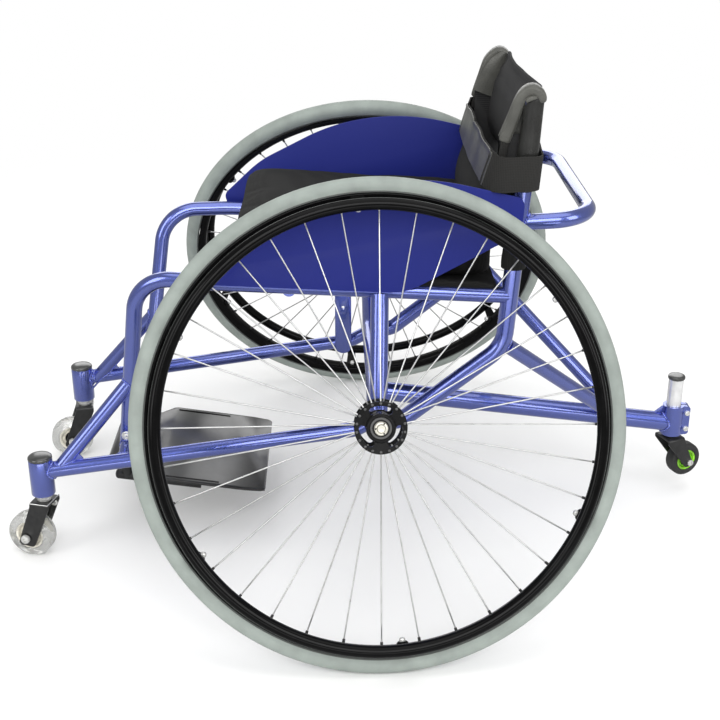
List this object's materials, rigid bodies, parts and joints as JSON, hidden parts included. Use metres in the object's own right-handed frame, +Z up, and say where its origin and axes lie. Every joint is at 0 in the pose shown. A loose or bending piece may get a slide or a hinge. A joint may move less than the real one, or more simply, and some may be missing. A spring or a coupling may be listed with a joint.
{
  "type": "tennis wheelchair",
  "caption": "Rigid sports wheelchair for court play, with cambered spoked wheels, small front casters, a rear anti-tip caster, side guards and a low sling back.",
  "frame": {"origin": "on the floor at the middle of the chair's footprint, almost under the wheel axles", "axes": "+X towards the occupant's left, +Y towards the back (the chair faces -Y), +Z up"},
  "size_m": [0.9858, 1.0829, 0.707],
  "materials": {
    "frame_paint": "metallic blue gloss paint",
    "guard_paint": "deep blue gloss paint on sheet",
    "tyre_rubber": "matt grey rubber",
    "black_rim": "black gloss",
    "black_alloy": "black anodised",
    "steel": "bright steel",
    "chrome": "polished",
    "black_plastic": "satin black",
    "gloss_black": "glossy black",
    "soft_wheel": "clear soft plastic",
    "white_core": "white",
    "green_core": "bright green",
    "black_rubber": "satin black",
    "black_fabric": "black woven cloth",
    "black_leatherette": "black leatherette"
  },
  "bodies": {
    "frame": {"axle_carrier": "frame_paint", "rear_boom": "frame_paint", "push_bar": "frame_paint", "right_side_strut": "frame_paint", "seat_cross_tube": "frame_paint", "footplate": "gloss_black", "seat_sling": "black_fabric", "seat_cushion": "black_fabric", "back_upholstery": "black_leatherette", "back_band": "black_fabric", "back_front_panel": "black_leatherette", "clamp_bolt_lower": "steel", "clamp_bolt_upper": "steel", "left_main_tube": "frame_paint", "left_front_frame": "frame_paint", "left_back_tube": "frame_paint", "left_guard": "guard_paint", "left_axle": "steel", "left_barrel_cap": "black_plastic", "left_caster_bearing": "steel", "left_footrest_hanger": "black_alloy", "left_hanger_bolt": "steel", "right_main_tube": "frame_paint", "right_front_frame": "frame_paint", "right_back_tube": "frame_paint", "right_guard": "guard_paint", "right_axle": "steel", "right_barrel_cap": "black_plastic", "right_caster_bearing": "steel", "right_footrest_hanger": "black_alloy", "right_hanger_bolt": "steel"},
    "left_drive_wheel": {"left_tyre": "tyre_rubber", "left_rim": "black_rim", "left_handrim": "black_rim", "left_hub": "black_alloy", "left_hub_bearing_inner": "steel", "left_hub_bearing_outer": "steel"},
    "left_button": {"left_release_button": "steel"},
    "left_caster_swivel": {"left_caster_fork": "black_alloy"},
    "left_caster_wheel": {"left_caster_tyre": "soft_wheel", "left_caster_core": "white_core", "left_caster_axle": "steel"},
    "right_drive_wheel": {"right_tyre": "tyre_rubber", "right_rim": "black_rim", "right_handrim": "black_rim", "right_hub": "black_alloy", "right_hub_bearing_inner": "steel", "right_hub_bearing_outer": "steel"},
    "right_button": {"right_release_button": "steel"},
    "right_caster_swivel": {"right_caster_fork": "black_alloy"},
    "right_caster_wheel": {"right_caster_tyre": "soft_wheel", "right_caster_core": "white_core", "right_caster_axle": "steel"},
    "antitip_stem": {"antitip_post": "chrome", "antitip_post_cap": "black_plastic"},
    "antitip_swivel": {"antitip_fork": "black_alloy"},
    "antitip_wheel": {"antitip_tyre": "black_rubber", "antitip_core": "green_core", "antitip_axle": "steel"}
  },
  "joints": [
    {"name": "left_wheel_spin", "type": "hinge", "parent": "frame", "child": "left_drive_wheel", "pos_m": [0.344, 0.0006, 0.29856], "axis": [0.9303, 0, 0.3668], "continuous": true},
    {"name": "left_button_press", "type": "slide", "parent": "frame", "child": "left_button", "axis": [0.9303, 0, 0.3668], "range_m": [-0.0045, 0], "stiffness_N_per_m": 400, "springref_m": 0.004},
    {"name": "left_caster_turn", "type": "hinge", "parent": "frame", "child": "left_caster_swivel", "pos_m": [0.161, -0.4824, 0.128], "axis": [0, 0, 1], "continuous": true},
    {"name": "left_caster_roll", "type": "hinge", "parent": "left_caster_swivel", "child": "left_caster_wheel", "pos_m": [0.15405, -0.50662, 0.034], "axis": [0.9613, -0.2756, 0], "continuous": true},
    {"name": "right_wheel_spin", "type": "hinge", "parent": "frame", "child": "right_drive_wheel", "pos_m": [-0.344, 0.0006, 0.29856], "axis": [-0.9303, 0, 0.3668], "continuous": true},
    {"name": "right_button_press", "type": "slide", "parent": "frame", "child": "right_button", "axis": [-0.9303, 0, 0.3668], "range_m": [-0.0045, 0], "stiffness_N_per_m": 400, "springref_m": 0.004},
    {"name": "right_caster_turn", "type": "hinge", "parent": "frame", "child": "right_caster_swivel", "pos_m": [-0.161, -0.4824, 0.128], "axis": [0, 0, 1], "continuous": true},
    {"name": "right_caster_roll", "type": "hinge", "parent": "right_caster_swivel", "child": "right_caster_wheel", "pos_m": [-0.15684, -0.50725, 0.034], "axis": [0.9863, 0.165, 0], "continuous": true},
    {"name": "antitip_height", "type": "slide", "parent": "frame", "child": "antitip_stem", "axis": [0, 0, 1], "range_m": [-0.028, 0.004]},
    {"name": "antitip_turn", "type": "hinge", "parent": "antitip_stem", "child": "antitip_swivel", "pos_m": [0, 0.4851, 0.12], "axis": [0, 0, 1], "continuous": true},
    {"name": "antitip_roll", "type": "hinge", "parent": "antitip_swivel", "child": "antitip_wheel", "pos_m": [-0.01146, 0.51347, 0.0567], "axis": [0.9272, 0.3746, 0], "continuous": true}
  ]
}
